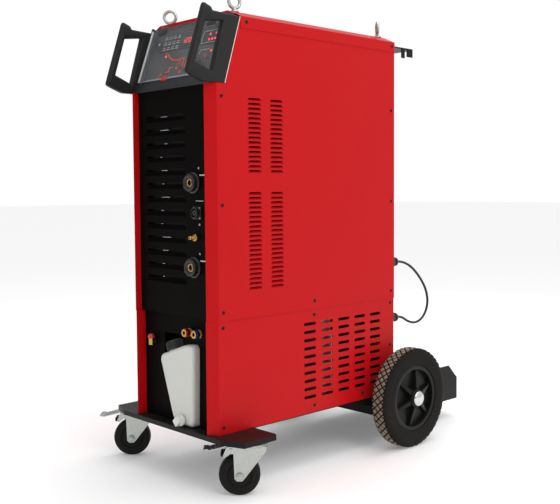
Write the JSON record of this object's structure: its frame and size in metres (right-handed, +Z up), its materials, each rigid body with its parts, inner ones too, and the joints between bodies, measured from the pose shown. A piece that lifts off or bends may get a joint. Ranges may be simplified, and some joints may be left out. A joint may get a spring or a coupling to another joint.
{
  "type": "tig welder",
  "caption": "Upright wheeled TIG power source over a water cooler: sloping console with clear cover, side handles, casters, rear wheels and gas cylinder tray.",
  "frame": {"origin": "on the floor under the middle of the body", "axes": "+Z up, the front with the console and sockets faces -Y, +X is the right side seen from the front"},
  "size_m": [0.6028, 1.0973, 1.205],
  "materials": {
    "red_paint": "satin powder coat",
    "black_paint": "fine-textured powder coat",
    "chassis_black": "semi-matte powder coat",
    "handle_plastic": "textured moulding",
    "console_plastic": "fine-textured moulding",
    "overlay": "printed overlay",
    "clear_plastic": "clear polycarbonate",
    "knob_black": "soft satin",
    "red_plastic": "satin",
    "blue_anodised": "anodised",
    "red_anodised": "anodised",
    "brass": "machined",
    "zinc": "zinc plated",
    "chrome": "polished",
    "steel": "turned",
    "tyre_rubber": "dusty tread",
    "caster_rubber": "worn matte",
    "wheel_plastic": "moulded hub",
    "tank_plastic": "translucent polyethylene",
    "white_plastic": "satin",
    "socket_black": "thermoset",
    "cable_rubber": "matte",
    "screw_black": "blackened",
    "heatsink": "extruded",
    "copper_iron": "varnished",
    "board_green": "solder mask"
  },
  "bodies": {
    "machine": {"base_plate": "chassis_black", "under_frame": "chassis_black", "rear_axle": "steel", "axle_caps": "chrome", "cylinder_tray": "chassis_black", "cylinder_bracket": "chassis_black", "mid_deck": "black_paint", "roof_cover": "red_paint", "upper_side_right": "red_paint", "upper_side_left": "red_paint", "lower_side_right": "red_paint", "lower_side_left": "red_paint", "front_upper_panel": "black_paint", "front_lower_panel": "black_paint", "rear_upper_panel": "black_paint", "rear_lower_panel": "black_paint", "console_tray": "console_plastic", "control_panel": "overlay", "handle_right": "handle_plastic", "handle_left": "handle_plastic", "eye_bolts": "zinc", "panel_screws": "screw_black", "socket_housings": "socket_black", "socket_inserts": "brass", "control_connector": "zinc", "gas_nozzle": "brass", "coolant_fittings": "brass", "coolant_tank": "tank_plastic", "switch_base": "knob_black", "cable_glands": "socket_black", "interconnect_lead": "cable_rubber", "power_heatsink": "heatsink", "main_transformer": "copper_iron", "control_board": "board_green", "radiator": "heatsink", "coolant_pump": "copper_iron", "fan_frame": "socket_black", "caster_plates": "zinc"},
    "cover": {"clear_cover": "clear_plastic"},
    "knob": {"encoder_knob": "knob_black"},
    "button_left": {"select_button_left": "red_plastic"},
    "button_right": {"select_button_right": "red_plastic"},
    "sleeve_red": {"coupling_sleeve_red": "red_anodised"},
    "sleeve_blue": {"coupling_sleeve_blue": "blue_anodised"},
    "bleed_valve": {"bleed_knob": "red_plastic"},
    "filler_cap": {"filler_cap": "knob_black"},
    "drain_cap": {"drain_cap": "white_plastic"},
    "switch": {"switch_knob": "knob_black"},
    "fan": {"fan_rotor": "socket_black"},
    "cooler_fan": {"cooler_fan_rotor": "socket_black"},
    "wheel_right": {"tyre_right": "tyre_rubber", "rim_right": "wheel_plastic"},
    "wheel_left": {"tyre_left": "tyre_rubber", "rim_left": "wheel_plastic"},
    "fork_right": {"caster_fork_right": "zinc"},
    "caster_right": {"caster_wheel_right": "caster_rubber"},
    "pedal_right": {"brake_pedal_right": "zinc"},
    "fork_left": {"caster_fork_left": "zinc"},
    "caster_left": {"caster_wheel_left": "caster_rubber"},
    "pedal_left": {"brake_pedal_left": "zinc"}
  },
  "joints": [
    {"name": "cover_hinge", "type": "hinge", "parent": "machine", "child": "cover", "pos_m": [0, -0.2596, 1.14833], "axis": [-1, 0, 0], "range_deg": [0, 110]},
    {"name": "knob_turn", "type": "hinge", "parent": "machine", "child": "knob", "pos_m": [0.062, -0.2877, 1.03945], "axis": [0, -0.9422, 0.335], "continuous": true},
    {"name": "button_left_press", "type": "slide", "parent": "machine", "child": "button_left", "axis": [0, 0.9422, -0.335], "range_m": [0, 0.0015], "stiffness_N_per_m": 300},
    {"name": "button_right_press", "type": "slide", "parent": "machine", "child": "button_right", "axis": [0, 0.9422, -0.335], "range_m": [0, 0.0015], "stiffness_N_per_m": 300},
    {"name": "sleeve_red_pull", "type": "slide", "parent": "machine", "child": "sleeve_red", "axis": [0, 1, 0], "range_m": [0, 0.004], "stiffness_N_per_m": 400},
    {"name": "sleeve_blue_pull", "type": "slide", "parent": "machine", "child": "sleeve_blue", "axis": [0, 1, 0], "range_m": [0, 0.004], "stiffness_N_per_m": 400},
    {"name": "bleed_turn", "type": "hinge", "parent": "machine", "child": "bleed_valve", "pos_m": [-0.103, -0.319, 0.35], "axis": [0, 0, 1], "range_deg": [0, 270]},
    {"name": "filler_turn", "type": "hinge", "parent": "machine", "child": "filler_cap", "pos_m": [-0.016, -0.297, 0.32486], "axis": [-0.3363, 0, 0.9417], "continuous": true},
    {"name": "drain_turn", "type": "hinge", "parent": "machine", "child": "drain_cap", "pos_m": [0.04, -0.34, 0.158], "axis": [0, -1, 0], "continuous": true},
    {"name": "switch_turn", "type": "hinge", "parent": "machine", "child": "switch", "pos_m": [-0.09, 0.336, 0.69], "axis": [0, 1, 0], "range_deg": [0, 90]},
    {"name": "fan_spin", "type": "hinge", "parent": "machine", "child": "fan", "pos_m": [0, 0.316, 0.9], "axis": [0, 1, 0], "continuous": true},
    {"name": "cooler_fan_spin", "type": "hinge", "parent": "machine", "child": "cooler_fan", "pos_m": [0.005, 0.104, 0.268], "axis": [0, 1, 0], "continuous": true},
    {"name": "wheel_right_roll", "type": "hinge", "parent": "machine", "child": "wheel_right", "pos_m": [0.237, 0.324, 0.14], "axis": [1, 0, 0], "continuous": true},
    {"name": "wheel_left_roll", "type": "hinge", "parent": "machine", "child": "wheel_left", "pos_m": [-0.237, 0.324, 0.14], "axis": [1, 0, 0], "continuous": true},
    {"name": "caster_right_swivel", "type": "hinge", "parent": "machine", "child": "fork_right", "pos_m": [0.226, -0.254, 0.125], "axis": [0, 0, 1], "continuous": true},
    {"name": "caster_right_roll", "type": "hinge", "parent": "fork_right", "child": "caster_right", "pos_m": [0.20057, -0.28224, 0.05], "axis": [0.7431, -0.6691, 0], "continuous": true},
    {"name": "pedal_right_press", "type": "hinge", "parent": "fork_right", "child": "pedal_right", "pos_m": [0.18719, -0.2971, 0.114], "axis": [0.7431, -0.6691, 0], "range_deg": [0, 14]},
    {"name": "caster_left_swivel", "type": "hinge", "parent": "machine", "child": "fork_left", "pos_m": [-0.226, -0.254, 0.125], "axis": [0, 0, 1], "continuous": true},
    {"name": "caster_left_roll", "type": "hinge", "parent": "fork_left", "child": "caster_left", "pos_m": [-0.25143, -0.28224, 0.05], "axis": [0.7431, -0.6691, 0], "continuous": true},
    {"name": "pedal_left_press", "type": "hinge", "parent": "fork_left", "child": "pedal_left", "pos_m": [-0.26481, -0.2971, 0.114], "axis": [0.7431, -0.6691, 0], "range_deg": [0, 14]}
  ]
}
